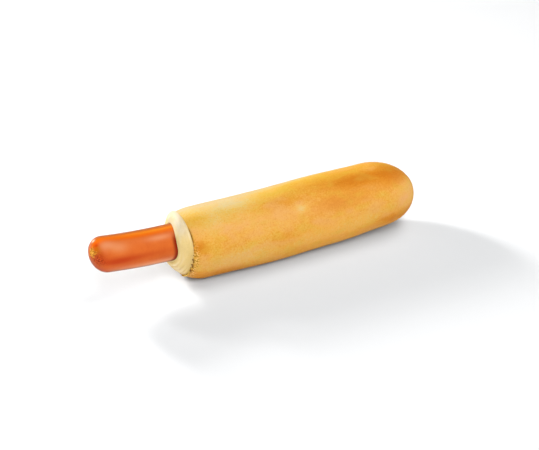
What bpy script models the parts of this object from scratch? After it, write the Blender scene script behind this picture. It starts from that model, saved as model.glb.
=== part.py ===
"""French hot dog: a soft bread roll, bored from its cut end, with a frankfurter pushed into it.

Metres, +Z up. X runs along the roll: the frankfurter stands out towards -X and the roll's closed
end points to +X. The origin is on the flat underside, below the middle of the whole hot dog.

Places are first worked out as "along", the distance from about the crust's cut edge, positive into
the roll and negative out of it. Angles run round the X axis from +Y: 90 degrees is the top, and 180
degrees the near side.
"""

import math

import bmesh
import bpy
from mathutils import Matrix

# Roll
ROLL_LENGTH = 0.1818
ROLL_RADIUS = 0.025
PRESSED_FLAT = 0.0015  # depth of the underside that its own weight flattens
END_LENGTH = 0.0344  # rounded closed end
END_FULLNESS_TOP = 1.78  # exponent of the end's outline: 2 is an ellipse, more is squarer
END_FULLNESS_BOTTOM = 2.95
SWAY_START = 0.053  # from here to the closed end the roll thins, rises and drifts to one side
END_THINNING = 0.084
END_RISE = 0.0031
END_DRIFT = 0.0028

# Where the dough swelled more: along, angle in degrees, its reach along and round, and its height
SWELLINGS = (
    (0.103, 75, 0.029, 50, 0.0010),
    (0.066, 225, 0.037, 45, 0.0011),
    (0.125, 225, 0.010, 40, 0.0011),
    (0.164, 200, 0.012, 40, 0.0015),
)

# Cut end
CUT_RADIUS = 0.0217  # outside of the crust where it is cut
CUT_RISE = 0.00157  # the cut's middle stands this far above the roll's
CUT_ROUNDING = 0.013  # stretch over which the roll swells from the cut to its full radius
CUT_FORWARD = 0.0005  # how far the cut edge's middle lies in front of where "along" is 0
CUT_LEAN = 0.0011  # how much further back the cut edge is at its top than at its middle
CUT_SCOOP = (160, 40, 0.0013)  # where it curves back: angle, reach round in degrees, and depth
CRUST = 0.0008
CRUST_GROOVE = 0.0005
CRUMB_STANDS_OUT = 0.0087
CRUMB_FULLNESS_TOP = 0.9
CRUMB_FULLNESS_BOTTOM = 1.25
CRUMB_SWELL = 0.0045  # how far its top swells past the crust's cut edge

# Frankfurter
SAUSAGE_RADIUS = 0.01245
SAUSAGE_OUT = 0.0652
SAUSAGE_IN = 0.133
SAUSAGE_CAP = 0.0107
SAUSAGE_ASIDE = -0.0009
SAUSAGE_HEIGHT = 0.0291  # middle line above the ground, inside the roll
SAUSAGE_CURL = 0.0048  # rise of its free tip
KNOT_ASIDE = -0.004  # dimple where the casing is tied off, beside and above the tip's middle
KNOT_UP = 0.0048
KNOT_REACH = 0.0026
KNOT_DEPTH = 0.0007

# Bore
GAP = 0.0003
END_GAP = 0.0006
RIM_FLARE = 0.0006  # the rim is this much wider than the bore
RIM_ROUNDING = 0.001
RIM_SLOPE = (0.17, 0.22)  # shift along X per metre aside and per metre up: the top leans back
RIM_SCOOP = (200, 48, 0.004)  # where the rim is torn back, as for the cut

ROLL_HEIGHT = ROLL_RADIUS - PRESSED_FLAT
BORE_RADIUS = SAUSAGE_RADIUS + GAP
BORE_DEPTH = SAUSAGE_IN + END_GAP
RIM_RADIUS = BORE_RADIUS + RIM_FLARE

ROLL_SIDES = 48
SAUSAGE_SIDES = 36


def mix(low, high, share):
    return low + (high - low) * share


def mix_pair(low, high, share):
    return (mix(low[0], high[0], share), mix(low[1], high[1], share))


def steps(low, high, count):
    """Values from low to high, both included."""
    return [mix(low, high, i / (count - 1)) for i in range(count)]


def bump(distance, reach):
    """1 at no distance, falling off smoothly over the reach."""
    return math.exp(-((distance / reach) ** 2))


def bump_round(angle, degrees, reach):
    """1 at an angle given in degrees, falling off smoothly round the axis over the reach."""
    return bump((math.degrees(angle) - degrees + 180) % 360 - 180, reach)


def superellipse(share, fullness):
    """Height of a quarter superellipse of unit size at a share of its width."""
    return max(0.0, 1 - share**fullness) ** (1 / fullness)


def round_about(along, middle, radius, angle):
    """A point of a ring about the middle line."""
    return (along, middle[0] + radius * math.cos(angle), middle[1] + radius * math.sin(angle))


def roll_middle(along):
    sway = max(0.0, (along - SWAY_START) / (ROLL_LENGTH - SWAY_START)) ** 2
    swell = max(0.0, 1 - along / CUT_ROUNDING) ** 2
    return (END_DRIFT * sway, ROLL_HEIGHT + END_RISE * sway + CUT_RISE * swell)


def roll_radius(along, angle):
    """Radius of the crust, with the underside of the closed end fuller than its top."""
    sway = max(0.0, (along - SWAY_START) / (ROLL_LENGTH - SWAY_START)) ** 2
    swell = max(0.0, 1 - along / CUT_ROUNDING) ** 2
    radius = ROLL_RADIUS * (1 - END_THINNING * sway) - (ROLL_RADIUS - CUT_RADIUS) * swell
    fullness = mix(END_FULLNESS_BOTTOM, END_FULLNESS_TOP, (1 + math.sin(angle)) / 2)
    for place, degrees, reach_along, reach_round, height in SWELLINGS:
        radius += height * bump(along - place, reach_along) * bump_round(angle, degrees, reach_round)
    into_end = max(0.0, 1 - (ROLL_LENGTH - along) / END_LENGTH)
    return radius * superellipse(into_end, fullness)


def cut_shift(angle):
    """How far back the crust's cut edge lies here: it leans, and is scooped on the near side."""
    degrees, reach, depth = CUT_SCOOP
    return CUT_LEAN * math.sin(angle) + depth * bump_round(angle, degrees, reach) - CUT_FORWARD


def rim_shift(angle):
    """How far back the bore's rim lies here from where the crumb stands out to, on average."""
    degrees, reach, depth = RIM_SCOOP
    lean = math.cos(angle) * RIM_SLOPE[0] + math.sin(angle) * RIM_SLOPE[1]
    return RIM_RADIUS * lean + depth * bump_round(angle, degrees, reach)


def crust_point(along, angle):
    shift = cut_shift(angle) * max(0.0, 1 - along / CUT_ROUNDING)
    x, y, z = round_about(along + shift, roll_middle(along), roll_radius(along, angle), angle)
    return (x, y, max(0.0, z))


def cut_crust_point(depth, along, angle):
    """A point of the crust's cut edge, some way in from its outside."""
    return round_about(along + cut_shift(angle), roll_middle(0), CUT_RADIUS - depth, angle)


def crumb_point(turn, angle):
    """The crumb swells out of the crust, from turn 0 at the crust to turn 1 at the bore's rim."""
    topness = (1 + math.sin(angle)) / 2
    fullness = mix(CRUMB_FULLNESS_BOTTOM, CRUMB_FULLNESS_TOP, topness)
    share = math.cos(turn * math.pi / 2) ** (2 / fullness)
    out = math.sin(turn * math.pi / 2) ** (2 / fullness)
    along = mix(cut_shift(angle), rim_shift(angle) - CRUMB_STANDS_OUT, out)
    swell = CRUMB_SWELL * topness**2 * math.sin(turn * math.pi)
    radius = mix(RIM_RADIUS, CUT_RADIUS - CRUST, share) + swell
    middle = mix_pair(sausage_middle(-CRUMB_STANDS_OUT), roll_middle(0), share)
    return round_about(along, middle, radius, angle)


def rim_point(turn, angle):
    """The rounding of the rim, from turn 0 at its front to turn 1 at the bore's wall."""
    radius = mix(RIM_RADIUS, BORE_RADIUS, math.sin(turn * math.pi / 2))
    along = RIM_ROUNDING * (1 - math.cos(turn * math.pi / 2)) - CRUMB_STANDS_OUT
    return round_about(along + rim_shift(angle), sausage_middle(along), radius, angle)


def bore_point(along, angle):
    """The bore's wall, which loses the rim's shift within its own radius and ends in a dome."""
    into_end = max(0.0, 1 - (BORE_DEPTH - along) / SAUSAGE_CAP)
    radius = BORE_RADIUS * superellipse(into_end, 2)
    shift = rim_shift(angle) * max(0.0, 1 - (along + CRUMB_STANDS_OUT) / BORE_RADIUS)
    return round_about(along + shift, sausage_middle(along), radius, angle)


def sausage_middle(along):
    """Straight inside the roll, and curling up outside it."""
    out = max(0.0, -along / SAUSAGE_OUT)
    return (SAUSAGE_ASIDE, SAUSAGE_HEIGHT + SAUSAGE_CURL * out**2)


def sausage_point(along, radius, angle):
    return round_about(along, sausage_middle(along), radius, angle)


def sausage_tip_point(turn, angle):
    """The free tip, from turn 0 at its middle to turn 1, dimpled where the casing is tied off."""
    radius = SAUSAGE_RADIUS * math.sin(turn * math.pi / 2)
    away = math.hypot(radius * math.cos(angle) - KNOT_ASIDE, radius * math.sin(angle) - KNOT_UP)
    cap = SAUSAGE_CAP * (1 - math.cos(turn * math.pi / 2))
    return sausage_point(cap + KNOT_DEPTH * bump(away, KNOT_REACH) - SAUSAGE_OUT, radius, angle)


def sausage_inner_point(turn, angle):
    radius = SAUSAGE_RADIUS * math.sin(turn * math.pi / 2)
    cap = SAUSAGE_CAP * (1 - math.cos(turn * math.pi / 2))
    return sausage_point(SAUSAGE_IN - cap, radius, angle)


def skin(name, rings, sides, collection, material):
    """A closed solid over rings of points, the first and the last of which are single points.

    Each ring is a function of the angle. A grid is wrapped round them and its seam is merged.
    """
    bm = bmesh.new()
    bmesh.ops.create_grid(bm, x_segments=len(rings) - 1, y_segments=sides, size=0.5)
    for vert in bm.verts:
        ring = rings[round((vert.co.x + 0.5) * (len(rings) - 1))]
        vert.co = ring((vert.co.y + 0.5) * math.tau)
    bmesh.ops.remove_doubles(bm, verts=bm.verts, dist=1e-6)
    bmesh.ops.recalc_face_normals(bm, faces=bm.faces)
    mesh = bpy.data.meshes.new(name)
    bm.to_mesh(mesh)
    bm.free()
    mesh.shade_smooth()
    mesh.materials.append(material)
    obj = bpy.data.objects.new(name, mesh)
    collection.objects.link(obj)
    return obj


def finish(name, colour, roughness):
    material = bpy.data.materials.new(name)
    material.use_nodes = True
    shader = material.node_tree.nodes["Principled BSDF"]
    shader.inputs["Base Color"].default_value = (*colour, 1)
    shader.inputs["Roughness"].default_value = roughness
    shader.inputs["Metallic"].default_value = 0
    return material


def make_bun(collection):
    """Crust from the closed end to the cut, over the crumb, then down the bore to its end."""
    end = [ROLL_LENGTH - END_LENGTH * (1 - math.sin(t)) for t in steps(math.pi / 2, 0, 12)]
    body = steps(ROLL_LENGTH - END_LENGTH, CUT_ROUNDING, 14)[1:]
    swell = steps(CUT_ROUNDING, 0, 7)[1:]
    rings = [lambda angle, a=along: crust_point(a, angle) for along in end + body + swell]
    rings.append(lambda angle: cut_crust_point(CRUST / 2, -CRUST / 4, angle))
    rings.append(lambda angle: cut_crust_point(CRUST, CRUST_GROOVE, angle))
    rings += [lambda angle, t=turn: crumb_point(t, angle) for turn in steps(0, 1, 10)]
    rings += [lambda angle, t=turn: rim_point(t, angle) for turn in steps(0, 1, 5)[1:]]
    wall = steps(RIM_ROUNDING - CRUMB_STANDS_OUT, BORE_DEPTH - SAUSAGE_CAP, 9)[1:]
    dome = [BORE_DEPTH - SAUSAGE_CAP * (1 - math.sin(t)) for t in steps(0, math.pi / 2, 6)[1:]]
    rings += [lambda angle, a=along: bore_point(a, angle) for along in wall + dome]
    return skin("bun", rings, ROLL_SIDES, collection, finish("baked_bread", (0.78, 0.43, 0.12), 0.6))


def make_sausage(collection):
    straight = steps(SAUSAGE_CAP - SAUSAGE_OUT, SAUSAGE_IN - SAUSAGE_CAP, 18)[1:-1]
    rings = [lambda angle, t=turn: sausage_tip_point(t, angle) for turn in steps(0, 1, 12)]
    rings += [lambda angle, a=along: sausage_point(a, SAUSAGE_RADIUS, angle) for along in straight]
    rings += [lambda angle, t=turn: sausage_inner_point(t, angle) for turn in steps(1, 0, 7)]
    colour = (0.76, 0.17, 0.03)
    return skin("sausage", rings, SAUSAGE_SIDES, collection, finish("sausage_casing", colour, 0.3))


def set_origin_below_middle(objects):
    """Shifts the meshes so that the origin is midway along and across the whole, on the ground."""
    points = [vert.co for obj in objects for vert in obj.data.vertices]
    xs = [point.x for point in points]
    ys = [point.y for point in points]
    shift = Matrix.Translation((-(min(xs) + max(xs)) / 2, -(min(ys) + max(ys)) / 2, 0))
    for obj in objects:
        obj.data.transform(shift)


def main():
    for obj in list(bpy.data.objects):
        bpy.data.objects.remove(obj, do_unlink=True)
    collection = bpy.data.collections.new("hot_dog")
    bpy.context.scene.collection.children.link(collection)
    set_origin_below_middle([make_bun(collection), make_sausage(collection)])


main()
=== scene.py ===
"""Looks of a French hot dog: a baked roll, bored from its cut end, round a smoked frankfurter.

Metres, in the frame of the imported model: X runs along the roll, the frankfurter stands out
towards -X, and the ground is at Z 0. As in the model's own source, "along" is the distance from
about the crust's cut edge, positive into the roll, and an angle runs round the X axis from +Y,
so that 90 degrees is the top and 180 degrees the side that faces the camera.
"""

import math
import random

import bmesh
import bpy
from mathutils import Matrix, Vector, noise


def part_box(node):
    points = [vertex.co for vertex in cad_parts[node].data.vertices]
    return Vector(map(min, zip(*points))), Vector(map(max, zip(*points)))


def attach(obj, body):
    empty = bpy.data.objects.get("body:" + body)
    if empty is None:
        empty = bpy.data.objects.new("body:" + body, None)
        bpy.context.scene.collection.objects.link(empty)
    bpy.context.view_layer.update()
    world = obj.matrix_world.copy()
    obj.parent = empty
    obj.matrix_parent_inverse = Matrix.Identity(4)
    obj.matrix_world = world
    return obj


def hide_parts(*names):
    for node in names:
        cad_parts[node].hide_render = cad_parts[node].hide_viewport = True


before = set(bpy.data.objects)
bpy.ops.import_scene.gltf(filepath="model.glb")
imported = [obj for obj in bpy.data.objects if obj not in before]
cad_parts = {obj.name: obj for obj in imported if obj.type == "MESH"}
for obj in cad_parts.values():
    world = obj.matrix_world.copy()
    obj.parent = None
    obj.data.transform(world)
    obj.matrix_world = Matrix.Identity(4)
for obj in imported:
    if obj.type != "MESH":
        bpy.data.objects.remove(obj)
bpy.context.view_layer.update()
closed_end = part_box("bun")[1].x
near_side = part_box("sausage")[0].y

# Roll
ROLL_LENGTH = 0.1818
ROLL_RADIUS = 0.025
PRESSED_FLAT = 0.0015
END_LENGTH = 0.0344
END_FULLNESS_TOP = 1.78
END_FULLNESS_BOTTOM = 2.95
SWAY_START = 0.053
END_THINNING = 0.084
END_RISE = 0.0031
END_DRIFT = 0.0028

# Where the dough swelled more: along, angle in degrees, its reach along and round, and how high
SWELLINGS = (
    (0.103, 75, 0.029, 50, 0.0010),
    (0.066, 225, 0.037, 45, 0.0011),
    (0.122, 225, 0.020, 40, 0.0008),
    (0.162, 198, 0.015, 40, 0.0011),
)

# Cut end, where the crumb swells out as a collar
CUT_RADIUS = 0.0217
CUT_RISE = 0.00157
CUT_ROUNDING = 0.013
CUT_FORWARD = 0.0005
CUT_LEAN = 0.0011
CUT_SCOOP = (160, 40, 0.0013)  # angle in degrees, its reach round, and depth
CUT_EDGE_ROUNDING = 0.0003
CRUST = 0.0008  # how thick the crust is
CRUMB_STANDS_OUT = 0.0087
CRUMB_FULLNESS_TOP = 0.9
CRUMB_FULLNESS_BOTTOM = 1.25
CRUMB_SWELL = 0.0045

# Frankfurter
SAUSAGE_RADIUS = 0.01245
SAUSAGE_OUT = 0.0652
SAUSAGE_IN = 0.133
SAUSAGE_CAP = 0.0107
SAUSAGE_ASIDE = -0.0009
SAUSAGE_HEIGHT = 0.0291
SAUSAGE_CURL = 0.0048

# Bore
BORE_RADIUS = SAUSAGE_RADIUS + 0.0003
BORE_DEPTH = SAUSAGE_IN + 0.0006
RIM_RADIUS = BORE_RADIUS + 0.0006
RIM_ROUNDING = 0.001
RIM_SLOPE = (0.17, 0.22)  # how steeply the rim leans back to the side and upwards
RIM_SCOOP = (200, 48, 0.004)

# Where the shape's own axes lie in the frame
CUT_X = closed_end - ROLL_LENGTH
MIDDLE_Y = near_side + SAUSAGE_RADIUS - SAUSAGE_ASIDE
ROLL_HEIGHT = ROLL_RADIUS - PRESSED_FLAT


# Shape -------------------------------------------------------------------------------------


def mix(low, high, share):
    return low + (high - low) * share


def mix_pair(low, high, share):
    return (mix(low[0], high[0], share), mix(low[1], high[1], share))


def steps(low, high, count):
    """Values from low to high, both included."""
    return [mix(low, high, i / (count - 1)) for i in range(count)]


def rise(value, low, high):
    """0 below low, 1 above high, and smooth between them."""
    share = min(1.0, max(0.0, (value - low) / (high - low)))
    return share * share * (3 - 2 * share)


def bump(distance, reach):
    """1 at no distance, falling off smoothly over the reach."""
    return math.exp(-((distance / reach) ** 2))


def bump_round(angle, degrees, reach):
    """1 at an angle given in degrees, falling off smoothly round the axis over the reach."""
    return bump((math.degrees(angle) - degrees + 180) % 360 - 180, reach)


def patchy(patches, across, angle):
    """The sum of soft patches at this place: its distance along or across, and its angle.

    A patch is its own place and angle in degrees, its reach across and round, and its strength.
    """
    total = 0.0
    for place, degrees, reach_across, reach_round, strength in patches:
        reached = bump(across - place, reach_across) * bump_round(angle, degrees, reach_round)
        total += strength * reached
    return total


def covered(patches, across, angle):
    """How fully soft patches cover this place, from 0 to 1."""
    return min(1.0, patchy(patches, across, angle))


def superellipse(share, fullness):
    return max(0.0, 1 - share**fullness) ** (1 / fullness)


def round_about(along, middle, radius, angle):
    """A point of a ring about the middle line."""
    aside = radius * math.cos(angle)
    up = radius * math.sin(angle)
    return Vector((CUT_X + along, MIDDLE_Y + middle[0] + aside, middle[1] + up))


def sway(along):
    """How far the roll has thinned, risen and drifted aside: 1 at its closed end."""
    return max(0.0, (along - SWAY_START) / (ROLL_LENGTH - SWAY_START)) ** 2


def narrowing(along):
    """How far the crust has drawn in to its cut edge: 1 at the edge."""
    return max(0.0, 1 - along / CUT_ROUNDING) ** 2


def roll_middle(along):
    height = ROLL_HEIGHT + END_RISE * sway(along) + CUT_RISE * narrowing(along)
    return (END_DRIFT * sway(along), height)


def roll_radius(along, angle):
    radius = ROLL_RADIUS * (1 - END_THINNING * sway(along))
    radius -= (ROLL_RADIUS - CUT_RADIUS) * narrowing(along)
    fullness = mix(END_FULLNESS_BOTTOM, END_FULLNESS_TOP, (1 + math.sin(angle)) / 2)
    radius += patchy(SWELLINGS, along, angle)
    into_end = max(0.0, 1 - (ROLL_LENGTH - along) / END_LENGTH)
    return radius * superellipse(into_end, fullness)


def cut_shift(angle):
    """How far back the crust's cut edge lies here: it leans, and is scooped on the near side."""
    degrees, reach, depth = CUT_SCOOP
    return CUT_LEAN * math.sin(angle) + depth * bump_round(angle, degrees, reach) - CUT_FORWARD


def rim_shift(angle):
    """How far back the bore's rim lies here from where the crumb stands out to, on average."""
    degrees, reach, depth = RIM_SCOOP
    lean = math.cos(angle) * RIM_SLOPE[0] + math.sin(angle) * RIM_SLOPE[1]
    return RIM_RADIUS * lean + depth * bump_round(angle, degrees, reach)


def crust_point(along, angle, depth=0.0):
    """A point of the crust's outside, or at a depth under it."""
    shift = cut_shift(angle) * max(0.0, 1 - along / CUT_ROUNDING)
    radius = max(0.0, roll_radius(along, angle) - depth)
    point = round_about(along + shift, roll_middle(along), radius, angle)
    point.z = max(depth, point.z)
    return point


def cut_edge_point(turn, angle):
    """The crust's cut edge, from turn 0 at its outside to turn 1 at its inside."""
    radius = CUT_RADIUS - CRUST * (1 - math.cos(turn * math.pi)) / 2
    along = CUT_EDGE_ROUNDING * -math.sin(turn * math.pi)
    return round_about(along + cut_shift(angle), roll_middle(0), radius, angle)


def crumb_point(turn, angle):
    """The crumb swells out of the crust, from turn 0 at the crust to turn 1 at the bore's rim."""
    topness = (1 + math.sin(angle)) / 2
    fullness = mix(CRUMB_FULLNESS_BOTTOM, CRUMB_FULLNESS_TOP, topness)
    share = math.cos(turn * math.pi / 2) ** (2 / fullness)
    out = math.sin(turn * math.pi / 2) ** (2 / fullness)
    along = mix(cut_shift(angle), rim_shift(angle) - CRUMB_STANDS_OUT, out)
    swell = CRUMB_SWELL * topness**2 * math.sin(turn * math.pi)
    radius = mix(RIM_RADIUS, CUT_RADIUS - CRUST, share) + swell
    middle = mix_pair(sausage_middle(-CRUMB_STANDS_OUT), roll_middle(0), share)
    return round_about(along, middle, radius, angle)


def rim_point(turn, angle):
    """The rounding of the rim, from turn 0 at its front to turn 1 at the bore's wall."""
    radius = mix(RIM_RADIUS, BORE_RADIUS, math.sin(turn * math.pi / 2))
    along = RIM_ROUNDING * (1 - math.cos(turn * math.pi / 2)) - CRUMB_STANDS_OUT
    return round_about(along + rim_shift(angle), sausage_middle(along), radius, angle)


def bore_point(along, angle):
    into_end = max(0.0, 1 - (BORE_DEPTH - along) / SAUSAGE_CAP)
    radius = BORE_RADIUS * superellipse(into_end, 2)
    shift = rim_shift(angle) * max(0.0, 1 - (along + CRUMB_STANDS_OUT) / BORE_RADIUS)
    return round_about(along + shift, sausage_middle(along), radius, angle)


def sausage_middle(along):
    """Straight inside the roll, and curling up outside it."""
    out = max(0.0, -along / SAUSAGE_OUT)
    return (SAUSAGE_ASIDE, SAUSAGE_HEIGHT + SAUSAGE_CURL * out**2)


def sausage_point(along, radius, angle):
    return round_about(along, sausage_middle(along), radius, angle)


# Building ----------------------------------------------------------------------------------


def wrap(name, rings, sides):
    """A closed skin: a grid wrapped round rings of points, whose seam and poles are merged.

    Each ring is a function of the angle, which gives a point and the values kept with it.
    """
    bm = bmesh.new()
    layers = {key: bm.verts.layers.float.new(key) for key in rings[0](0.0)[1]}
    bmesh.ops.create_grid(bm, x_segments=len(rings) - 1, y_segments=sides, size=0.5)
    for vert in bm.verts:
        ring = rings[round((vert.co.x + 0.5) * (len(rings) - 1))]
        vert.co, values = ring((vert.co.y + 0.5) * math.tau)
        for key, value in values.items():
            vert[layers[key]] = value
    bmesh.ops.remove_doubles(bm, verts=bm.verts, dist=1e-6)
    bmesh.ops.recalc_face_normals(bm, faces=bm.faces)
    return piece_from(bm, name)


def piece_from(bm, name):
    mesh = bpy.data.meshes.new(name)
    bm.to_mesh(mesh)
    bm.free()
    mesh.shade_smooth()
    obj = bpy.data.objects.new(name, mesh)
    bpy.context.scene.collection.objects.link(obj)
    return obj


def relief(position, size, seed):
    """Smooth unevenness from -1 to 1 with bumps of about this size."""
    return noise.noise(position / size + Vector((seed, -seed, 2 * seed)))


def sunk(point, middle, depth):
    """The point moved this far in towards the middle line."""
    inward = Vector((0, middle[0] + MIDDLE_Y - point.y, middle[1] - point.z))
    if inward.length < 1e-6:
        return point
    return point + inward.normalized() * depth


# Roll's crust ------------------------------------------------------------------------------

RAGGED = 0.00035  # how far the crust's cut edge wanders back
UNEVEN = 0.00022  # how deep the dents in the crust are
END_WRINKLE = 0.00016
END_WRINKLE_SPACING = 0.0026

# Where the oven browned the crust more, or less, and painted contact shade low on the near side:
# along, angle in degrees, how far it reaches along and round, and by how much
PLAIN_BROWNING = 0.45
BROWNING = (
    # Along the top, pale behind the cut and dark towards the closed end
    (0.025, 88, 0.050, 32, -0.36),
    (0.060, 66, 0.090, 9, -0.12),
    (0.055, 68, 0.070, 12, -0.40),
    (0.007, 110, 0.010, 12, 0.14),
    (0.020, 126, 0.008, 18, -0.16),
    (0.040, 98, 0.014, 14, -0.12),
    (0.069, 116, 0.020, 13, 0.17),
    (0.104, 98, 0.024, 13, 0.20),
    (0.125, 88, 0.032, 14, 0.10),
    (0.130, 112, 0.014, 16, 0.14),
    (0.138, 113, 0.034, 13, 0.45),
    (0.147, 103, 0.006, 12, -0.14),
    (0.166, 104, 0.016, 24, 0.20),
    # On the near side
    (0.0048, 159, 0.0055, 10, 0.44),
    (0.030, 188, 0.026, 11, -0.22),
    (0.071, 177, 0.011, 12, 0.16),
    (0.083, 137, 0.0045, 7, -0.42),
    (0.112, 142, 0.024, 13, 0.34),
    (0.116, 152, 0.012, 9, 0.10),
    (0.112, 188, 0.050, 14, -0.20),
    (0.158, 132, 0.014, 15, 0.26),
    (0.166, 128, 0.010, 16, 0.14),
    (0.172, 155, 0.007, 30, -0.14),
    # Low on the near side
    (0.016, 216, 0.024, 12, 0.26),
    (0.030, 201, 0.024, 9, -0.18),
    # painted contact shade: darker along the near side's lower edge, next to the ground
    (0.034, 231, 0.032, 10, 0.42),
    (0.106, 207, 0.040, 8, 0.12),
    (0.152, 196, 0.016, 11, 0.26),
    (0.160, 205, 0.014, 10, 0.40),
    # Underneath
    (0.050, 275, 0.080, 26, 0.60),
    (0.130, 275, 0.060, 26, 0.60),
)

# Where the crust under the flour dust is rosier, where it is a warmer orange, and where it is a
# clear yellow, along the top and behind the cut, each laid out in the same way
CRUST_TINGES = {
    "rosy": (
        (0.022, 134, 0.030, 13, 0.60),
        (0.060, 140, 0.030, 13, 0.55),
        (0.105, 150, 0.040, 20, 0.35),
        (0.170, 160, 0.012, 30, 0.80),
        (0.070, 68, 0.100, 12, 0.30),
        (0.164, 176, 0.012, 16, 0.30),
        (0.020, 190, 0.030, 14, 0.45),
    ),
    "warm": (
        (0.106, 188, 0.034, 18, 0.90),
        (0.042, 196, 0.018, 10, 0.50),
        (0.106, 216, 0.034, 12, 0.70),
    ),
    "golden": (
        (0.100, 88, 0.045, 16, 0.90),
        (0.006, 112, 0.010, 16, 0.80),
        (0.036, 108, 0.014, 10, 0.25),
        (0.062, 104, 0.014, 10, 0.50),
    ),
}


def worn_side(angle):
    """1 where the cut edge has crumbled: the near side, from below the top to the ground."""
    degrees = math.degrees(angle)
    return rise(degrees, 108, 150) * (1 - rise(degrees, 250, 300))


def edge_relief(angle, size):
    """Smooth unevenness round the cut edge, from -1 to 1, with bumps of about this size."""
    return relief(Vector((math.cos(angle), math.sin(angle), 0)) * CUT_RADIUS, size, 3)


def edge_wear(angle):
    """How far the cut edge has crumbled, notch by notch."""
    notch = rise(edge_relief(angle, 0.0013), -0.1, 0.35)
    return worn_side(angle) * (0.25 + 0.75 * notch)


# How dark the line is where crust and crumb part: angle in degrees, its reach, and strength
CUT_LINE = (
    (129, 8, 0.80),
    (142, 9, 0.95),
    (158, 8, 0.60),
    (171, 9, 0.55),
    (187, 8, 0.75),
    (200, 8, 0.85),
    (215, 9, 0.75),
    (234, 11, 0.60),
)


def cut_line(angle):
    """How dark the parting of crust and crumb is here, broken into dashes."""
    dark = sum(strength * bump_round(angle, degrees, reach) for degrees, reach, strength in CUT_LINE)
    broken = rise(math.degrees(angle), 145, 165)
    dash = mix(1.0, rise(edge_relief(angle, 0.0016), -0.25, 0.15), broken)
    return min(1.0, dark) * dash


def baked_values(along, angle):
    """How far the crust is baked at this place, and its tinges."""
    tinges = {name: covered(patches, along, angle) for name, patches in CRUST_TINGES.items()}
    return {"baked": PLAIN_BROWNING + patchy(BROWNING, along, angle), **tinges}


def crust_ring(along, depth=0.0):
    """A ring of the crust: dented and wrinkled outside, and plain at a depth under it."""

    def ring(angle):
        back = RAGGED * edge_wear(angle) * bump(along, 2 * RAGGED)
        point = crust_point(along + back, angle, depth)
        if depth == 0:
            dent = UNEVEN * (0.5 + 0.5 * relief(point, 0.009, 1))
            dent += 0.35 * UNEVEN * (0.5 + 0.5 * relief(point, 0.0028, 2))
            wrinkled = rise(along, 0.135, 0.160) * (1 - rise(along, 0.176, 0.181))
            wave = math.sin(math.tau * along / END_WRINKLE_SPACING + 2.5 * relief(point, 0.012, 5))
            dent += END_WRINKLE * wrinkled * (0.5 + 0.5 * wave)
            flat = 1 - rise(point.z, 0.0, 0.002)
            point = sunk(point, roll_middle(along), dent * (1 - flat))
        speckled = worn_side(angle) * rise(math.degrees(angle), 140, 175)
        return point, {
            **baked_values(along, angle),
            "toasted": cut_line(angle) * bump(along, 0.0008),
            "speckled": speckled * bump(along - 0.0014, 0.0020),
        }

    return ring


def cut_edge_ring(turn):
    """A ring of the crumbled cut edge, from turn 0 at its outside to turn 1 at its inside."""

    def ring(angle):
        point = cut_edge_point(turn, angle)
        point.x += RAGGED * edge_wear(angle)
        return point, {
            **baked_values(0, angle),
            "toasted": cut_line(angle),
            "speckled": worn_side(angle),
        }

    return ring


def closed_end_places(depth, count):
    """Distances along for rings over the closed end, at a depth, closer together at its pole."""
    length = END_LENGTH - depth
    turns = steps(0, math.pi / 2, count)
    return [ROLL_LENGTH - depth - length * (1 - math.sin(turn)) for turn in turns]


def make_crust():
    """A thin shell: outside from the closed end to the cut, round its edge, and back inside."""
    body_end = ROLL_LENGTH - END_LENGTH
    outside = closed_end_places(0.0, 52)[::-1]
    outside += steps(body_end, 0.004, 160)[1:]
    outside += steps(0.004, 0, 14)[1:]
    rings = [crust_ring(along) for along in outside]
    rings += [cut_edge_ring(turn) for turn in steps(0, 1, 6)[1:]]
    inside = steps(0.001, body_end, 10) + closed_end_places(CRUST, 8)[1:]
    rings += [crust_ring(along, CRUST) for along in inside]
    return wrap("roll_crust", rings, 220)


# Roll's crumb ------------------------------------------------------------------------------

STREAK = 0.00012  # depths of the streaks and pores
PORE = 0.00016
GATHERING = 0.0009  # how far the rim is drawn in above and below the frankfurter
GROOVE = 0.00015  # how far the crumb has shrunk from the crust's cut edge
# the folds' colour is painted shade, full where a fold is this deep
FULL_FOLD_SHADE_DEPTH = 0.0006  # how deep a fold is where it has its full colour
CLEARANCE = 0.00005  # between crumb and crust, and between crumb and frankfurter

# Torn layers, as grooves round the collar: turn, angle in degrees, how far it reaches across and
# round, and depth
FOLDS = (
    (0.88, 232, 0.030, 26, 0.00050),
    (0.64, 238, 0.035, 24, 0.00036),
    (0.48, 232, 0.030, 24, 0.00034),
    (0.32, 230, 0.030, 22, 0.00030),
    (0.18, 226, 0.025, 20, 0.00024),
    (0.62, 190, 0.070, 22, 0.00010),
    (0.45, 130, 0.090, 26, 0.00010),
)

# Where the crumb took colour from the oven, and where it is painted whiter: partly its own white,
# partly painted light on the lower lip and painted highlights along the rim's inner edge and the
# crust's edge: turn, angle in degrees, how far it reaches across and round, and by how much
TANNED = (
    (0.16, 186, 0.26, 24, 0.95),
    (0.08, 146, 0.17, 18, 1.00),
    (0.04, 222, 0.14, 13, 1.00),
    (0.96, 175, 0.12, 40, 0.35),
    (0.86, 236, 0.05, 20, 0.70),
    (0.28, 98, 0.20, 26, 0.40),
)
WHITE_AND_LIT = (
    (0.45, 238, 0.22, 14, 1.00),
    (0.72, 236, 0.05, 22, 1.00),
    (0.99, 240, 0.05, 22, 1.00),
    (0.27, 134, 0.06, 14, 1.00),
    (0.92, 116, 0.07, 16, 1.00),
    (0.78, 80, 0.18, 24, 0.50),
)


def fold_depth(turn, angle):
    """Depth of the torn layers at this place of the collar."""
    wave = 0.035 * noise.noise(Vector((3 * math.cos(angle), 3 * math.sin(angle), 0.7)))
    total = 0.0
    for place, degrees, reach_across, reach_round, depth in FOLDS:
        reached = bump(turn + wave - place, reach_across) * bump_round(angle, degrees, reach_round)
        total += depth * reached
    return total


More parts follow.
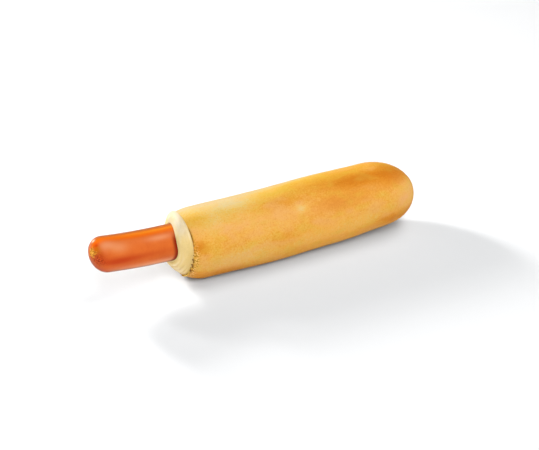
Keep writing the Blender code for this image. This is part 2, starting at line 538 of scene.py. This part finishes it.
def gathered(point, along, angle, reach):
    """The point drawn in towards the frankfurter, where the crumb lies against it."""
    middle_y, middle_z = sausage_middle(along)
    out = Vector((0, point.y - MIDDLE_Y - middle_y, point.z - middle_z))
    drawn = GATHERING * reach * (bump_round(angle, 262, 34) + bump_round(angle, 86, 34))
    radius = max(SAUSAGE_RADIUS + CLEARANCE, out.length - drawn)
    return point + out * (radius / out.length - 1)


def soaked(angle):
    """How much painted shade, in the frankfurter's red, the rim and bore take round it: most on the
    near side.
    """
    return 0.25 + 0.75 * bump_round(angle, 182, 46)


def crumb_values(**given):
    """The values kept with the crumb: plain crumb's, but for those given."""
    plain = {"streak": 0.5, "torn": 0.0, "browned": 0.0, "tanned": 0.3, "white": 0.0, "soaked": 0.0}
    return {**plain, **given}


def crumb_ring(turn):
    """A ring of the collar, streaked and torn, from turn 0 at the crust to turn 1 at the rim."""

    def ring(angle):
        point = gathered(crumb_point(turn, angle), -CRUMB_STANDS_OUT, angle, rise(turn, 0.75, 1.0))
        middle = mix_pair(roll_middle(0), sausage_middle(-CRUMB_STANDS_OUT), turn)
        round_ring = Vector((turn * 9, math.cos(angle) * 2.2, math.sin(angle) * 2.2))
        streak = 0.5 + 0.5 * noise.noise(round_ring)
        pore = max(0.0, relief(point, 0.0011, 9) - 0.2)
        inside = math.sin(turn * math.pi) ** 0.5 if 0 < turn < 1 else 0
        fold = inside * fold_depth(turn, angle)
        groove = cut_line(angle) * bump(turn, 0.026)
        depth = inside * (STREAK * streak + PORE * pore) + fold + GROOVE * groove
        point = sunk(point, middle, depth)
        point.x += 0.6 * depth
        return point, crumb_values(
            streak=streak,
            torn=min(1.0, fold / FULL_FOLD_SHADE_DEPTH),
            browned=groove,
            tanned=covered(TANNED, turn, angle),
            white=covered(WHITE_AND_LIT, turn, angle),
        )

    return ring


def wall_ring(shape, place, along):
    """A ring of the rim or the bore's wall, gathered to the frankfurter near the rim."""

    def ring(angle):
        point = gathered(shape(place, angle), along, angle, bump(along + CRUMB_STANDS_OUT, 0.006))
        return point, crumb_values(soaked=soaked(angle) * rise(along, -0.0088, -0.0078))

    return ring


def hidden_ring(shape, place, *depth):
    """A ring that never shows: under the crust, or at the bore's end."""
    return lambda angle: (shape(place, angle, *depth), crumb_values(soaked=1.0))


def make_crumb():
    """Under the crust from its closed end to the cut, over the collar, then down the bore."""
    under = CRUST + CLEARANCE
    hidden = closed_end_places(under, 8)[::-1] + steps(ROLL_LENGTH - END_LENGTH, 0.002, 10)[1:]
    rings = [hidden_ring(crust_point, along, under) for along in hidden]
    rings += [crumb_ring(step**1.3) for step in steps(0, 1, 72)]
    for turn in steps(0, 1, 8)[1:]:
        along = RIM_ROUNDING * (1 - math.cos(turn * math.pi / 2)) - CRUMB_STANDS_OUT
        rings.append(wall_ring(rim_point, turn, along))
    wall = steps(RIM_ROUNDING - CRUMB_STANDS_OUT, BORE_DEPTH - SAUSAGE_CAP, 16)[1:]
    dome = [BORE_DEPTH - SAUSAGE_CAP * (1 - math.sin(t)) for t in steps(0, math.pi / 2, 8)[1:]]
    rings += [wall_ring(bore_point, along, along) for along in wall]
    rings += [hidden_ring(bore_point, along) for along in dome]
    return wrap("roll_crumb", rings, 288)


# Frankfurter -------------------------------------------------------------------------------

KNOT_ASIDE = -0.0025  # where the casing was tied off, beside and above the tip's middle
KNOT_UP = 0.0038
KNOT_REACH = 0.0036
KNOT_DEPTH = 0.0007
KNOT_FOLDS = 9
KNOT_RAYS = 5
SCAR_ASIDE = -0.0084  # patch of fine wrinkles below the knot
SCAR_UP = 0.0002
SCAR_REACH = 0.0038
SCAR_DEPTH = 0.00028
UNEVEN_CASING = 0.00012
# painted shade on the casing where it enters the rim
RIM_SHADE_FADE = (-0.0034, -0.0004)  # where the dark band by the rim starts and is full, along from it

# Small round marks on the tip, a painted highlight and a spot of painted shade among them: how far
# beside and above its middle they lie, and their reach
TIP_MARKS = {
    "glint": (0.0024, 0.0096, 0.0011),
    "aureole": (-0.0056, 0.0070, 0.0030),
    # painted shade: a dark red spot
    "shade_spot": (-0.0035, 0.0088, 0.0019),
}

# Patches of the casing's colour, each laid out as the crust's are: its own colour, with painted light
# and shade
CASING_PATCHES = {
    # painted back light: a clearer orange along the top
    "backlit_orange": (
        (-0.028, 107, 0.032, 9, 1.00),
        (-0.050, 97, 0.020, 8, 0.70),
        (-0.0610, 102, 0.008, 22, 0.90),
    ),
    "amber": (
        (-0.018, 95, 0.026, 7, 0.90),
        (-0.0495, 134, 0.0055, 18, 0.35),
    ),
    # painted shade along the top outline and the tip's lower outline
    "shaded_outline": (
        (-0.030, 80, 0.050, 8, 1.00),
        (-0.058, 226, 0.012, 16, 1.00),
    ),
    # darker red low on the near side and at the tip: partly its own colour, partly painted shade
    "deep_red_and_shade": (
        (-0.050, 180, 0.014, 13, 1.00),
        (-0.030, 172, 0.020, 9, 0.45),
        (-0.0625, 162, 0.004, 26, 0.80),
        (-0.0600, 222, 0.008, 18, 0.90),
    ),
    # painted highlights of the softboxes on the upper near side, and a painted reflection of the floor
    # low down
    "painted_sheen": (
        (-0.0560, 122, 0.0060, 15, 0.68),
        (-0.0475, 136, 0.0060, 16, 0.55),
        (-0.0185, 127, 0.0085, 9, 0.70),
        (-0.020, 213, 0.026, 11, 0.85),
        (-0.018, 228, 0.026, 9, 0.60),
    ),
}


def cap_place(aside, up):
    """The point of the free tip at this place beside and above its middle."""
    radius = math.hypot(aside, up)
    along = SAUSAGE_CAP * (1 - math.sqrt(1 - (radius / SAUSAGE_RADIUS) ** 2)) - SAUSAGE_OUT
    return sausage_point(along, radius, math.atan2(up, aside))


def knot_marks(point):
    """How far the tied knot covers this place, how deep it is drawn in, and its small folds."""
    from_knot = point - cap_place(KNOT_ASIDE, KNOT_UP)
    turned = math.atan2(from_knot.z, from_knot.y)
    folds = turned * KNOT_FOLDS + 1.6 * relief(point, 0.002, 4)
    rays = 0.5 + 0.5 * math.sin(turned * KNOT_RAYS + 2.2 * relief(point, 0.003, 11))
    aside = from_knot.y * (0.8 if from_knot.y < 0 else 1.15)
    distance = Vector((from_knot.x, aside, 1.15 * from_knot.z)).length
    knotted = bump(distance, KNOT_REACH * (0.85 + 0.42 * rays))
    drawn_in = bump(from_knot.length, 0.55 * KNOT_REACH)
    fold = knotted * (1 - 0.7 * drawn_in) * (0.5 + 0.5 * math.sin(folds))
    return knotted, drawn_in, fold


def casing_ring(along, radius):
    """A ring of the casing, with the tip's knot, scar and marks, and its patches of colour."""
    cap_end = max(along, SAUSAGE_CAP - SAUSAGE_OUT)
    middle = sausage_middle(cap_end)
    centre = Vector((CUT_X + cap_end, MIDDLE_Y + middle[0], middle[1]))
    scar = cap_place(SCAR_ASIDE, SCAR_UP)

    def ring(angle):
        point = sausage_point(along, radius, angle)
        knotted, drawn_in, fold = knot_marks(point)
        scarred = bump((point - scar).length, SCAR_REACH)
        ridges = abs(relief(point, 0.0018, 6)) + 0.5 * abs(relief(point, 0.0009, 7))
        crack = scarred * (1 - min(1.0, 2.2 * ridges))
        depth = KNOT_DEPTH * (0.6 * drawn_in + 0.45 * fold) + SCAR_DEPTH * crack
        depth += UNEVEN_CASING * (0.5 + 0.5 * relief(point, 0.012, 8))
        rim = rim_shift(angle) - CRUMB_STANDS_OUT
        values = {
            "knot": knotted,
            "fold": fold,
            "scar": scarred,
            "crack": crack,
            # painted shade where the casing enters the rim, all round but its top
            "held_in_shade": rise(along - rim, *RIM_SHADE_FADE) * rise(-math.sin(angle), -0.98, -0.55),
        }
        for name, patches in CASING_PATCHES.items():
            values[name] = covered(patches, along, angle)
        for name, (aside, up, reach) in TIP_MARKS.items():
            values[name] = bump((point - cap_place(aside, up)).length, reach)
        return point + (centre - point).normalized() * depth, values

    return ring


def cap_rings(count):
    """How far in from a round end's pole its rings lie, and their radii."""
    turns = steps(0, math.pi / 2, count)
    return [(SAUSAGE_CAP * (1 - math.cos(t)), SAUSAGE_RADIUS * math.sin(t)) for t in turns]


def make_frankfurter():
    """From the tip's pole, along the part that shows and the part held in the roll."""
    tip = [(inward - SAUSAGE_OUT, radius) for inward, radius in cap_rings(64)]
    shown = steps(SAUSAGE_CAP - SAUSAGE_OUT, -0.004, 90)[1:]
    held_in_shade = steps(-0.004, SAUSAGE_IN - SAUSAGE_CAP, 24)[1:]
    inner = [(SAUSAGE_IN - inward, radius) for inward, radius in cap_rings(10)[-2::-1]]
    places = tip + [(along, SAUSAGE_RADIUS) for along in shown + held_in_shade] + inner
    return wrap("frankfurter", [casing_ring(*place) for place in places], 200)


# Toasted crumbs ----------------------------------------------------------------------------

CRUMB_COUNT = 110
CHARRED_COUNT = 22


def make_toasted_crumbs():
    """Small hard crumbs that hang on the crumbled cut edge, thickest at its lowest near point."""
    draw = random.Random(7)
    bm = bmesh.new()
    charred = bm.verts.layers.float.new("charred")
    for number in range(CRUMB_COUNT):
        is_charred = number < CHARRED_COUNT
        degrees = draw.gauss(202, 24) if is_charred else draw.gauss(230, 13)
        angle = math.radians(min(degrees, 252))
        size = draw.uniform(0.0004, 0.00065) if is_charred else draw.uniform(0.0003, 0.0007)
        place = cut_edge_point(draw.uniform(0.1, 0.7), angle)
        place.x += RAGGED * edge_wear(angle) - 0.4 * size + draw.uniform(-0.0007, 0.0006)
        place.z = max(place.z, 1.2 * size)
        turn = draw.uniform(0, math.tau)
        turned = Matrix.Rotation(turn, 4, Vector((draw.random(), draw.random(), 1)))
        stretch = (draw.uniform(0.7, 1.4), draw.uniform(0.7, 1.2), draw.uniform(0.6, 1), 1)
        stretched = Matrix.Diagonal(stretch)
        made = bmesh.ops.create_icosphere(
            bm, subdivisions=1, radius=size, matrix=Matrix.Translation(place) @ turned @ stretched
        )
        for vert in made["verts"]:
            vert[charred] = float(is_charred)
    return piece_from(bm, "toasted_crumbs")


# Node helpers ------------------------------------------------------------------------------


def paint(red, green, blue):
    """A colour given as on a paint chart, from 0 to 255, in the linear values that shaders take."""
    shares = [value / 255 for value in (red, green, blue)]
    return [s / 12.92 if s <= 0.04045 else ((s + 0.055) / 1.055) ** 2.4 for s in shares] + [1.0]


def connect(tree, value, socket):
    if isinstance(value, bpy.types.NodeSocket):
        tree.links.new(value, socket)
    else:
        socket.default_value = value


def add_node(tree, kind, settings=None, **inputs):
    """A node with its settings and its inputs, each a value or the socket that feeds it."""
    node = tree.nodes.new("ShaderNode" + kind)
    for name, value in (settings or {}).items():
        setattr(node, name, value)
    for name, value in inputs.items():
        connect(tree, value, node.inputs[name.replace("_", " ")])
    return node


def maths(tree, operation, first, second=0.0):
    node = add_node(tree, "Math", {"operation": operation})
    connect(tree, first, node.inputs[0])
    connect(tree, second, node.inputs[1])
    return node.outputs[0]


def remap(tree, value, low, high, to_low=0.0, to_high=1.0):
    return add_node(
        tree, "MapRange", {"interpolation_type": "SMOOTHSTEP"},
        Value=value, From_Min=low, From_Max=high, To_Min=to_low, To_Max=to_high,
    ).outputs[0]


def tint(tree, share, first, second):
    """The first colour turned into the second by the share."""
    node = add_node(tree, "Mix", {"data_type": "RGBA"})
    connect(tree, share, node.inputs[0])
    connect(tree, first, node.inputs[6])
    connect(tree, second, node.inputs[7])
    return node.outputs[2]


def ramp(tree, value, *stops):
    """A colour ramp through (place, colour) stops."""
    node = add_node(tree, "ValToRGB", Fac=value)
    elements = node.color_ramp.elements
    while len(elements) < len(stops):
        elements.new(0.5)
    for element, (place, colour) in zip(elements, stops):
        element.position = place
        element.color = colour
    return node.outputs[0]


def attribute(tree, name, strength=1.0):
    """A value kept with the mesh, times its strength."""
    value = add_node(tree, "Attribute", {"attribute_name": name}).outputs["Fac"]
    return value if strength == 1.0 else maths(tree, "MULTIPLY", value, strength)


def new_group(name, inputs, outputs):
    """An empty shader node group with named sockets, each of its own kind."""
    group = bpy.data.node_groups.new(name, "ShaderNodeTree")
    for in_out, sockets in (("INPUT", inputs), ("OUTPUT", outputs)):
        for socket, kind in sockets:
            group.interface.new_socket(socket, in_out=in_out, socket_type="NodeSocket" + kind)
    return group, group.nodes.new("NodeGroupInput"), group.nodes.new("NodeGroupOutput")


def place_group(tree, group, **inputs):
    """The outputs of a group placed in a material, given its inputs."""
    node = tree.nodes.new("ShaderNodeGroup")
    node.node_tree = group
    for name, value in inputs.items():
        connect(tree, value, node.inputs[name])
    return node.outputs


def make_mottling():
    """Cloudy unevenness about 0.5: a broad and a fine noise, weighted."""
    group, given, made = new_group(
        "mottling",
        [("Place", "Vector"), ("Broad", "Float"), ("Fine", "Float"), ("Fineness", "Float")],
        [("Cloud", "Float")],
    )
    place = given.outputs["Place"]
    broad = add_node(group, "TexNoise", Vector=place, Scale=given.outputs["Broad"], Detail=3.0)
    fine = add_node(group, "TexNoise", Vector=place, Scale=given.outputs["Fine"], Detail=4.0)
    node = add_node(group, "Mix", {"data_type": "FLOAT"})
    connect(group, given.outputs["Fineness"], node.inputs[0])
    connect(group, broad.outputs[0], node.inputs[2])
    connect(group, fine.outputs[0], node.inputs[3])
    connect(group, node.outputs[0], made.inputs["Cloud"])
    return group


def make_pitting():
    """Small round pits: a mask that is 1 in the pits, which cover more as Cover grows."""
    group, given, made = new_group(
        "pitting",
        [("Place", "Vector"), ("Scale", "Float"), ("Cover", "Float")],
        [("Pit", "Float")],
    )
    place = given.outputs["Place"]
    scale = given.outputs["Scale"]
    cells = add_node(group, "TexVoronoi", Vector=place, Scale=scale)
    cloud = add_node(group, "TexNoise", Vector=place, Scale=scale, Detail=2.0)
    edge = maths(group, "MULTIPLY", given.outputs["Cover"], cloud.outputs[0])
    pit = maths(group, "SUBTRACT", edge, cells.outputs["Distance"])
    connect(group, remap(group, pit, 0.0, 0.25), made.inputs["Pit"])
    return group


def new_finish(name, roughness=0.5):
    """A plain material, its node tree and its shader."""
    material = bpy.data.materials.new(name)
    material.use_nodes = True
    shader = material.node_tree.nodes["Principled BSDF"]
    shader.inputs["Roughness"].default_value = roughness
    shader.inputs["Metallic"].default_value = 0.0
    return material, material.node_tree, shader


def raise_surface(tree, shader, height, distance):
    made = add_node(tree, "Bump", Height=height, Distance=distance, Strength=1.0)
    tree.links.new(made.outputs[0], shader.inputs["Normal"])


def make_toning():
    """The colour turned to a plain grey, mostly, in the light that comes off it."""
    group, given, made = new_group(
        "toning",
        [("Colour", "Color"), ("Grey", "Color"), ("Bounced", "Float")],
        [("Colour", "Color")],
    )
    share = maths(group, "MULTIPLY", given.outputs["Bounced"], 0.85)
    toned = tint(group, share, given.outputs["Colour"], given.outputs["Grey"])
    connect(group, toned, made.inputs["Colour"])
    return group


def toned_down(tree, toning, colour, grey=0.38):
    """The colour, greyer in the light it throws on the floor, whose shadow is a plain grey."""
    bounced = add_node(tree, "LightPath").outputs["Is Diffuse Ray"]
    plain = (grey, grey, grey, 1.0)
    return place_group(tree, toning, Colour=colour, Grey=plain, Bounced=bounced)["Colour"]


def make_painted_edge_shade():
    """Painted shade at the outline: the colour turned to its edge colour, by up to Share, where Facing
    nears 1.
    """
    group, given, made = new_group(
        "painted_edge_shade",
        [("Colour", "Color"), ("Edge", "Color"), ("Facing", "Float"), ("Share", "Float")],
        [("Colour", "Color")],
    )
    turned_away = remap(group, given.outputs["Facing"], 0.6, 0.92)
    share = maths(group, "MULTIPLY", turned_away, given.outputs["Share"])
    edged = tint(group, share, given.outputs["Colour"], given.outputs["Edge"])
    connect(group, edged, made.inputs["Colour"])
    return group


def with_painted_edge_shade(tree, painted_edge_shade, colour, edge, share):
    """The colour, with its edge colour painted as shade where the surface turns away from the eye."""
    facing = add_node(tree, "LayerWeight", Blend=0.5).outputs["Facing"]
    return place_group(tree, painted_edge_shade, Colour=colour, Edge=edge, Facing=facing, Share=share)["Colour"]


# Finishes ----------------------------------------------------------------------------------


def make_baked_crust(mottling, pitting, toning, painted_edge_shade):
    """From pale and floury to deep golden, with its tinges, fine flecks by the cut, a dark line and
    painted shade.
    """
    material, tree, shader = new_finish("baked_crust")
    place = add_node(tree, "TexCoord").outputs["Object"]
    drawn_out = add_node(tree, "Mapping", Vector=place, Scale=(0.55, 1.0, 1.0)).outputs[0]
    cloud = place_group(tree, mottling, Place=drawn_out, Broad=75.0, Fine=420.0, Fineness=0.45)["Cloud"]
    grain = add_node(tree, "TexNoise", Vector=place, Scale=900.0, Detail=3.0).outputs[0]
    pit = place_group(tree, pitting, Place=place, Scale=900.0, Cover=0.8)["Pit"]
    uneven = maths(tree, "MULTIPLY", maths(tree, "SUBTRACT", cloud, 0.5), 0.55)
    grainy = maths(tree, "MULTIPLY", maths(tree, "SUBTRACT", grain, 0.5), 0.6)
    patchiness = remap(tree, attribute(tree, "baked"), 0.0, 0.4, 0.5, 1.0)
    uneven = maths(tree, "MULTIPLY", maths(tree, "ADD", uneven, grainy), patchiness)
    baked = maths(tree, "ADD", attribute(tree, "baked"), uneven)
    colour = ramp(
        tree, baked,
        (0.0, paint(214, 192, 142)),
        (0.13, paint(224, 192, 118)),
        (0.25, paint(229, 183, 92)),
        (0.4, paint(230, 169, 70)),
        (0.6, paint(224, 149, 48)),
        (0.8, paint(217, 135, 32)),
        (1.0, paint(210, 121, 20)),
    )
    blotch = add_node(tree, "TexNoise", Vector=drawn_out, Scale=150.0, Detail=1.0).outputs[0]
    lightly_baked = remap(tree, attribute(tree, "baked"), 0.75, 0.45)
    rosy = attribute(tree, "rosy", 0.6)
    blushed = maths(tree, "MULTIPLY", remap(tree, blotch, 0.42, 0.78, 0.0, 0.5), lightly_baked)
    rosy = maths(tree, "ADD", rosy, maths(tree, "MULTIPLY", blushed, patchiness))
    colour = tint(tree, rosy, colour, paint(230, 170, 102))
    colour = tint(tree, attribute(tree, "warm", 0.6), colour, paint(246, 172, 70))
    golden = attribute(tree, "golden", 0.6)
    yellowed = maths(tree, "MULTIPLY", remap(tree, blotch, 0.52, 0.26, 0.0, 0.3), patchiness)
    golden = maths(tree, "ADD", golden, yellowed)
    colour = tint(tree, golden, colour, paint(216, 172, 58))
    colour = tint(tree, maths(tree, "MULTIPLY", pit, 0.18), colour, paint(196, 122, 40))
    flecks = add_node(tree, "TexNoise", Vector=place, Scale=1000.0, Detail=0.5).outputs[0]
    dark = maths(tree, "MULTIPLY", remap(tree, flecks, 0.55, 0.63), attribute(tree, "speckled"))
    light = maths(tree, "MULTIPLY", remap(tree, flecks, 0.44, 0.36), attribute(tree, "speckled"))
    colour = tint(tree, maths(tree, "MULTIPLY", dark, 0.75), colour, paint(150, 100, 22))
    colour = tint(tree, maths(tree, "MULTIPLY", light, 0.55), colour, paint(242, 212, 138))
    colour = tint(tree, attribute(tree, "toasted"), colour, paint(122, 76, 8))
    # painted shade towards the outline, where the crust turns away from the eye
    colour = with_painted_edge_shade(tree, painted_edge_shade, colour, paint(180, 124, 40), 0.18)
    tree.links.new(toned_down(tree, toning, colour), shader.inputs["Base Color"])
    tree.links.new(remap(tree, cloud, 0.3, 0.7, 0.55, 0.7), shader.inputs["Roughness"])
    shader.inputs["Specular IOR Level"].default_value = 0.15
    shader.inputs["Specular Tint"].default_value = (1.0, 0.85, 0.6, 1.0)
    height = maths(tree, "ADD", cloud, maths(tree, "MULTIPLY", grain, 0.3))
    height = maths(tree, "SUBTRACT", height, maths(tree, "MULTIPLY", pit, 0.4))
    raise_surface(tree, shader, height, 0.00016)
    return material


def make_soft_crumb(mottling, pitting, toning):
    """Cream crumb, whiter towards the top as painted light, tanned near the crust, with painted shade.
    """
    material, tree, shader = new_finish("soft_crumb", 0.85)
    place = add_node(tree, "TexCoord").outputs["Object"]
    cloud = place_group(tree, mottling, Place=place, Broad=160.0, Fine=1100.0, Fineness=0.35)["Cloud"]
    pit = place_group(tree, pitting, Place=place, Scale=1500.0, Cover=0.7)["Pit"]
    height_above = add_node(tree, "SeparateXYZ", Vector=place).outputs["Z"]
    # painted light: towards its top the crumb turns a greyer white, as the light falls there
    lit_top = remap(tree, height_above, 0.037, 0.046)
    colour = tint(tree, lit_top, paint(241, 211, 143), paint(228, 215, 190))
    # partly the crumb's own white, partly painted light on the lower lip and painted highlights on its
    # edges
    colour = tint(tree, attribute(tree, "white"), colour, paint(250, 228, 184))
    colour = tint(tree, attribute(tree, "tanned"), colour, paint(222, 180, 98))
    mottled = maths(tree, "MULTIPLY", remap(tree, cloud, 0.42, 0.62), 0.4)
    colour = tint(tree, mottled, colour, paint(226, 196, 126))
    pale = maths(tree, "MULTIPLY", remap(tree, attribute(tree, "streak"), 0.45, 0.8), 0.25)
    colour = tint(tree, pale, colour, paint(248, 232, 190))
    # painted shade in the torn folds
    colour = tint(tree, attribute(tree, "torn", 0.75), colour, paint(204, 154, 72))
    # painted shade in the frankfurter's red, on the rim and bore in the gap round it
    colour = tint(tree, attribute(tree, "soaked"), colour, paint(196, 92, 30))
    colour = tint(tree, attribute(tree, "browned"), colour, paint(136, 86, 10))
    tree.links.new(toned_down(tree, toning, colour, 0.66), shader.inputs["Base Color"])
    shader.inputs["Specular IOR Level"].default_value = 0.2
    raise_surface(tree, shader, maths(tree, "SUBTRACT", cloud, pit), 0.0002)
    return material


# The casing's colour where each patch or mark is full, painted light and shade among them, in the order
# in which they are laid on
CASING_COLOURS = {
    # painted back light along the top
    "backlit_orange": (228, 101, 0),
    "amber": (228, 130, 22),
    # painted outline shade
    "shaded_outline": (186, 104, 34),
    # partly painted shade
    "deep_red_and_shade": (192, 62, 14),
    # painted highlights and floor reflection
    "painted_sheen": (228, 148, 100),
    # painted shade on the tip
    "shade_spot": (210, 48, 0),
    # painted shade by the rim
    "held_in_shade": (150, 36, 4),
}


def make_smoked_casing(mottling, pitting, toning, painted_edge_shade):
    """Orange-red and a little glossy, with a golden knot, a wrinkled scar, painted light and a painted
    dark outline.
    """
    material, tree, shader = new_finish("smoked_casing")
    place = add_node(tree, "TexCoord").outputs["Object"]
    cloud = place_group(tree, mottling, Place=place, Broad=90.0, Fine=700.0, Fineness=0.3)["Cloud"]
    speck = place_group(tree, pitting, Place=place, Scale=1300.0, Cover=0.9)["Pit"]
    uneven = maths(tree, "MULTIPLY", maths(tree, "SUBTRACT", cloud, 0.5), 0.5)
    colour = tint(tree, remap(tree, uneven, -0.12, 0.12), paint(208, 93, 33), paint(218, 107, 40))
    for name, there in CASING_COLOURS.items():
        colour = tint(tree, attribute(tree, name), colour, paint(*there))
    burnt = remap(tree, cloud, 0.35, 0.6, 0.4, 1.0)
    burnt = maths(tree, "MULTIPLY", burnt, attribute(tree, "aureole"))
    colour = tint(tree, burnt, colour, paint(208, 108, 8))
    broken_up = maths(tree, "MULTIPLY", maths(tree, "SUBTRACT", speck, 0.5), -0.25)
    gilded = maths(tree, "ADD", attribute(tree, "knot"), broken_up)
    gold = ramp(
        tree, add_node(tree, "TexNoise", Vector=place, Scale=1100.0, Detail=2.0).outputs[0],
        (0.40, paint(134, 84, 16)),
        (0.50, paint(236, 162, 26)),
        (0.62, paint(252, 204, 84)),
    )
    colour = tint(tree, remap(tree, gilded, 0.35, 0.75), colour, gold)
    colour = tint(tree, attribute(tree, "fold", 0.75), colour, paint(206, 84, 4))
    wrinkles = add_node(tree, "TexNoise", Vector=place, Scale=1100.0, Detail=1.0).outputs[0]
    scar = ramp(
        tree, wrinkles,
        (0.40, paint(122, 30, 0)),
        (0.50, paint(184, 62, 4)),
        (0.58, paint(222, 92, 34)),
    )
    colour = tint(tree, attribute(tree, "scar", 0.8), colour, scar)
    colour = tint(tree, attribute(tree, "crack", 0.5), colour, paint(140, 34, 0))
    colour = tint(tree, attribute(tree, "glint"), colour, paint(255, 226, 190))
    # painted shade: a dark outline where the casing turns away from the eye
    colour = with_painted_edge_shade(tree, painted_edge_shade, colour, paint(120, 62, 14), 0.8)
    tree.links.new(toned_down(tree, toning, colour), shader.inputs["Base Color"])
    tree.links.new(remap(tree, cloud, 0.3, 0.7, 0.36, 0.46), shader.inputs["Roughness"])
    shader.inputs["Specular IOR Level"].default_value = 0.15
    shader.inputs["Specular Tint"].default_value = (1.0, 0.8, 0.6, 1.0)
    raise_surface(tree, shader, cloud, 0.00012)
    return material


def make_toast(mottling):
    """Golden toasted crumbs, some of them charred."""
    material, tree, shader = new_finish("toast", 0.7)
    place = add_node(tree, "TexCoord").outputs["Object"]
    cloud = place_group(tree, mottling, Place=place, Broad=500.0, Fine=2500.0, Fineness=0.4)["Cloud"]
    colour = ramp(
        tree, cloud,
        (0.36, paint(130, 84, 6)),
        (0.46, paint(226, 166, 34)),
        (0.58, paint(254, 216, 104)),
    )
    colour = tint(tree, attribute(tree, "charred"), colour, paint(128, 76, 4))
    tree.links.new(colour, shader.inputs["Base Color"])
    raise_surface(tree, shader, cloud, 0.0002)
    return material


def make_pale_floor():
    material, _, shader = new_finish("pale_floor", 1.0)
    shader.inputs["Base Color"].default_value = (0.82, 0.82, 0.82, 1.0)
    shader.inputs["Specular IOR Level"].default_value = 0.0
    return material


# Studio ------------------------------------------------------------------------------------

CAMERA_DISTANCE = 1.1
CAMERA_ELEVATION = math.radians(29.634)
CAMERA_TURN = math.radians(26.969)
CAMERA_LENS = 106.3
AIM = Vector((0.00872, -0.00151, 0.02341))

SKY = (0.118, 0.119, 0.12)  # light from all round

# Low light from behind, which throws the long shadow: its turn from +Y towards -X, and its height
SUN_TURN = math.radians(34)
SUN_HEIGHT = math.radians(24)
SUN_STRENGTH = 0.92
SUN_SPREAD = math.radians(9)

# Softboxes: where they stand, their width, their power in watts and their colour
NEUTRAL = (1.0, 1.0, 1.0)
COOL = (0.94, 0.97, 1.0)
SOFTBOXES = {
    "key": ((-0.25, 0.64, 0.29), 0.14, 5.2, NEUTRAL),
    "overhead": ((0.75, -0.10, 1.90), 1.5, 17.0, NEUTRAL),
    "front_high": ((-0.45, -1.95, 2.40), 1.5, 43.0, COOL),
    "front_low": ((-0.65, -2.60, 1.40), 1.4, 15.0, NEUTRAL),
    "right_front": ((1.30, -1.40, 0.80), 0.8, 5.5, NEUTRAL),
    "left_low": ((-1.50, -0.15, 0.32), 0.45, 3.0, NEUTRAL),
}


def make_floor():
    bm = bmesh.new()
    bmesh.ops.create_grid(bm, x_segments=1, y_segments=1, size=4)
    floor = piece_from(bm, "floor")
    floor.data.materials.append(make_pale_floor())


def make_camera():
    data = bpy.data.cameras.new("camera")
    data.lens = CAMERA_LENS
    camera = bpy.data.objects.new("camera", data)
    bpy.context.scene.collection.objects.link(camera)
    level = math.cos(CAMERA_ELEVATION)
    looking = Vector((
        math.sin(CAMERA_TURN) * level,
        math.cos(CAMERA_TURN) * level,
        -math.sin(CAMERA_ELEVATION),
    ))
    camera.location = AIM - looking * CAMERA_DISTANCE
    camera.rotation_mode = "QUATERNION"
    camera.rotation_quaternion = looking.to_track_quat("-Z", "Y")
    bpy.context.scene.camera = camera


def add_light(name, data, place, towards):
    light = bpy.data.objects.new(name, data)
    bpy.context.scene.collection.objects.link(light)
    light.location = place
    light.rotation_mode = "QUATERNION"
    light.rotation_quaternion = (towards - Vector(place)).to_track_quat("-Z", "Y")
    return light


def make_backdrop_world():
    """A dim sky for the light, behind which the camera sees plain white."""
    world = bpy.data.worlds.new("studio")
    world.use_nodes = True
    tree = world.node_tree
    seen = add_node(tree, "LightPath").outputs["Is Camera Ray"]
    colour = tint(tree, seen, (*SKY, 1.0), (1.0, 1.0, 1.0, 1.0))
    tree.links.new(colour, tree.nodes["Background"].inputs["Color"])
    bpy.context.scene.world = world


def make_studio():
    bpy.context.scene.view_settings.view_transform = "Standard"
    make_backdrop_world()
    sun = bpy.data.lights.new("low_sun", "SUN")
    sun.energy = SUN_STRENGTH
    sun.angle = SUN_SPREAD
    level = math.cos(SUN_HEIGHT)
    place = Vector((-math.sin(SUN_TURN) * level, math.cos(SUN_TURN) * level, math.sin(SUN_HEIGHT)))
    add_light("low_sun", sun, place, Vector((0, 0, 0))).visible_glossy = False
    for name, (place, width, power, colour) in SOFTBOXES.items():
        box = bpy.data.lights.new(name, "AREA")
        box.shape = "DISK"
        box.size = width
        box.energy = power
        box.color = colour
        add_light(name, box, place, AIM).visible_glossy = name != "key"


# Dressing ----------------------------------------------------------------------------------


def dress(piece, node, finish):
    piece.data.materials.append(finish)
    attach(piece, "root")
    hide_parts(node)


def main():
    mottling = make_mottling()
    pitting = make_pitting()
    toning = make_toning()
    painted_edge_shade = make_painted_edge_shade()
    dress(make_crust(), "bun", make_baked_crust(mottling, pitting, toning, painted_edge_shade))
    dress(make_crumb(), "bun", make_soft_crumb(mottling, pitting, toning))
    dress(make_toasted_crumbs(), "bun", make_toast(mottling))
    casing = make_smoked_casing(mottling, pitting, toning, painted_edge_shade)
    dress(make_frankfurter(), "sausage", casing)
    make_floor()
    make_camera()
    make_studio()


main()
